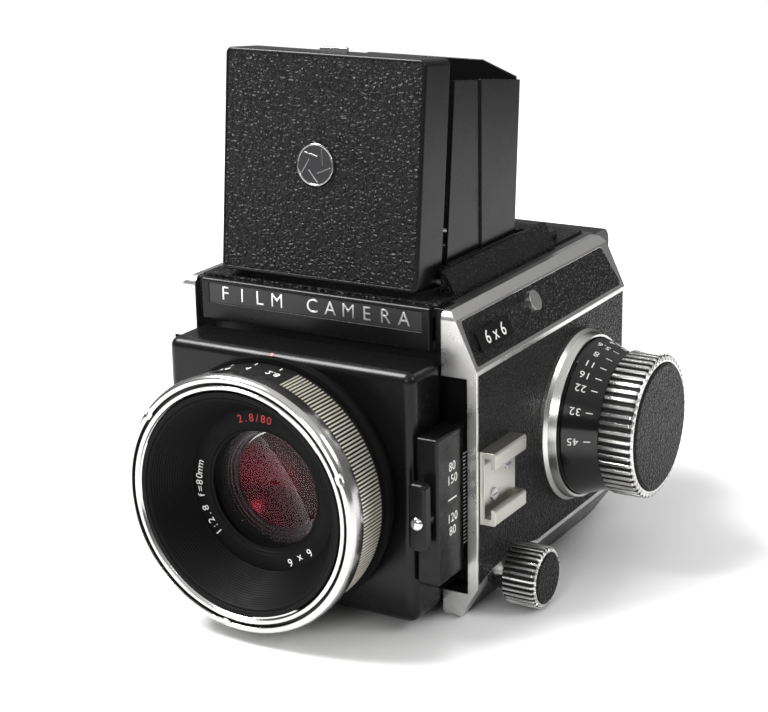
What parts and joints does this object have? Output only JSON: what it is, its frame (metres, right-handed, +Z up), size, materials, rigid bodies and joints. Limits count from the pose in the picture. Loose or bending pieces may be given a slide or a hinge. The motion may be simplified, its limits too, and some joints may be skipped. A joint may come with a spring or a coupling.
{
  "type": "single-lens reflex camera",
  "caption": "Medium-format single-lens reflex camera with a sliding bellows front, side focus knob, folding waist-level hood and a film magazine.",
  "frame": {"origin": "centre of the tripod socket's mouth, on the plane that the camera stands on", "axes": "+Z up, the lens looks along -Y, the focus knob is on the +X side"},
  "size_m": [0.156, 0.1741, 0.1701],
  "materials": {
    "chrome": "satin chrome plate",
    "steel": "turned steel",
    "aluminium": "bead-blasted",
    "black_paint": "semi-gloss black enamel",
    "black_anodised": "black anodised",
    "casting": "blackened casting",
    "leather": "grained black leatherette",
    "glass": "coated optical glass",
    "ground_glass": "ground glass",
    "mirror": "front-silvered",
    "cloth": "rubberised black cloth",
    "plastic": "matt black",
    "brass": "machined brass",
    "grey_plate": "grey enamel with light lettering"
  },
  "bodies": {
    "body": {"mirror_box": "casting", "side_frame_right": "chrome", "side_frame_left": "chrome", "side_leathers": "leather", "top_leather": "leather", "bellows_frame": "casting", "base_plate": "black_paint", "tripod_bush": "steel", "focusing_screen": "ground_glass", "nameplate_housing": "black_paint", "nameplate": "grey_plate", "shutter_curtains": "cloth", "accessory_shoe": "aluminium", "strap_studs": "chrome", "side_badge": "grey_plate", "shoe_screws": "steel", "focus_flange": "chrome", "finder_frame": "black_paint", "hood_pins": "steel", "bellows": "cloth", "magazine_frame": "black_anodised", "film_spools": "plastic"},
    "finder_latch": {"finder_latch": "black_paint"},
    "reflex_mirror": {"mirror_holder": "aluminium", "mirror_glass": "mirror"},
    "idler": {"idler_gear": "brass"},
    "focus_knob": {"focus_shaft": "steel", "focus_drum": "black_anodised", "knob_grip": "black_anodised", "knob_leather": "leather"},
    "lock_knob": {"lock_knob": "black_anodised", "lock_knob_leather": "leather"},
    "release": {"release_button": "chrome"},
    "carriage": {"carriage_yoke": "black_anodised", "guide_rods": "steel", "focus_rack": "steel", "scale_bracket": "black_paint"},
    "tilt_lever": {"tilt_lever": "black_paint"},
    "standard": {"front_standard": "black_paint", "lens_barrel": "black_anodised", "bayonet_ring": "chrome", "front_baffle": "black_anodised", "name_ring": "black_anodised", "front_element": "glass", "rear_element": "glass", "aperture_blades": "steel"},
    "aperture_ring": {"aperture_ring": "aluminium"},
    "lid": {"hood_lid": "black_paint", "lid_leather": "leather", "lid_emblem": "grey_plate"},
    "magnifier": {"magnifier_arm": "black_paint", "magnifier_lens": "glass"},
    "leaf_right": {"side_leaf_right": "black_paint"},
    "leaf_left": {"side_leaf_left": "black_paint"},
    "leaf_rear": {"rear_leaf": "black_paint"},
    "speed_dial": {"speed_dial": "black_anodised"},
    "crank": {"winding_crank": "chrome"},
    "crank_handle": {"crank_handle": "black_anodised"},
    "dark_slide": {"dark_slide": "steel"},
    "magazine_door": {"magazine_door": "black_paint"}
  },
  "joints": [
    {"name": "carriage_slide", "type": "slide", "parent": "body", "child": "carriage", "axis": [0, -1, 0], "range_m": [0, 0.05], "deforming": ["bellows"]},
    {"name": "focus_knob_turn", "type": "hinge", "parent": "body", "child": "focus_knob", "pos_m": [0.0557, 0.022, 0.0465], "axis": [1, 0, 0], "range_deg": [-1, 287]},
    {"name": "idler_turn", "type": "hinge", "parent": "body", "child": "idler", "pos_m": [0.0557, 0.00321, 0.03966], "axis": [1, 0, 0], "range_deg": [-287, 1]},
    {"name": "standard_tilt", "type": "hinge", "parent": "carriage", "child": "standard", "pos_m": [0, -0.052, 0.044], "axis": [1, 0, 0], "range_deg": [-8, 8]},
    {"name": "aperture_turn", "type": "hinge", "parent": "standard", "child": "aperture_ring", "pos_m": [0, -0.0645, 0.044], "axis": [0, 1, 0], "range_deg": [0, 75]},
    {"name": "tilt_lever_turn", "type": "hinge", "parent": "carriage", "child": "tilt_lever", "pos_m": [0.04755, -0.0645, 0.0395], "axis": [0, 1, 0], "range_deg": [-30, 30]},
    {"name": "lock_knob_turn", "type": "hinge", "parent": "body", "child": "lock_knob", "pos_m": [0.0557, -0.028, 0.0104], "axis": [1, 0, 0], "range_deg": [0, 120]},
    {"name": "release_press", "type": "slide", "parent": "body", "child": "release", "axis": [0, 1, 0], "range_m": [0, 0.0025], "stiffness_N_per_m": 400},
    {"name": "mirror_swing", "type": "hinge", "parent": "body", "child": "reflex_mirror", "pos_m": [0, 0.038, 0.0795], "axis": [-1, 0, 0], "range_deg": [0, 44]},
    {"name": "crank_turn", "type": "hinge", "parent": "body", "child": "crank", "pos_m": [-0.0557, 0.022, 0.0465], "axis": [1, 0, 0], "range_deg": [0, 340]},
    {"name": "handle_spin", "type": "hinge", "parent": "crank", "child": "crank_handle", "pos_m": [-0.064, 0.022, 0.0215], "axis": [1, 0, 0], "continuous": true},
    {"name": "speed_dial_turn", "type": "hinge", "parent": "body", "child": "speed_dial", "pos_m": [-0.0557, 0.022, 0.0465], "axis": [1, 0, 0], "range_deg": [0, 300]},
    {"name": "lid_hinge", "type": "hinge", "parent": "body", "child": "lid", "pos_m": [0, -0.03306, 0.10147], "axis": [1, 0, 0], "range_deg": [-1.5, 6]},
    {"name": "magnifier_hinge", "type": "hinge", "parent": "lid", "child": "magnifier", "pos_m": [0, -0.0344, 0.15189], "axis": [1, 0, 0], "range_deg": [0, 84]},
    {"name": "leaf_right_hinge", "type": "hinge", "parent": "body", "child": "leaf_right", "pos_m": [0.035, 0, 0.104], "axis": [0, -1, 0], "range_deg": [0, 90]},
    {"name": "leaf_left_hinge", "type": "hinge", "parent": "body", "child": "leaf_left", "pos_m": [-0.035, 0, 0.1068], "axis": [0, 1, 0], "range_deg": [0, 90]},
    {"name": "rear_leaf_hinge", "type": "hinge", "parent": "body", "child": "leaf_rear", "pos_m": [0, 0.0222, 0.1016], "axis": [1, 0, 0], "range_deg": [0, 91]},
    {"name": "finder_latch_slide", "type": "slide", "parent": "body", "child": "finder_latch", "axis": [0, 1, 0], "range_m": [0, 0.003]},
    {"name": "dark_slide_pull", "type": "slide", "parent": "body", "child": "dark_slide", "axis": [-1, 0, 0], "range_m": [0, 0.062]},
    {"name": "magazine_door_hinge", "type": "hinge", "parent": "body", "child": "magazine_door", "pos_m": [0.0409, 0.0664, 0.05], "axis": [0, 0, -1], "range_deg": [0, 95]}
  ],
  "couplings": [
    {"joint": "focus_knob_turn", "follows": "carriage_slide", "rad_per_m": 100},
    {"joint": "idler_turn", "follows": "carriage_slide", "rad_per_m": -100}
  ]
}
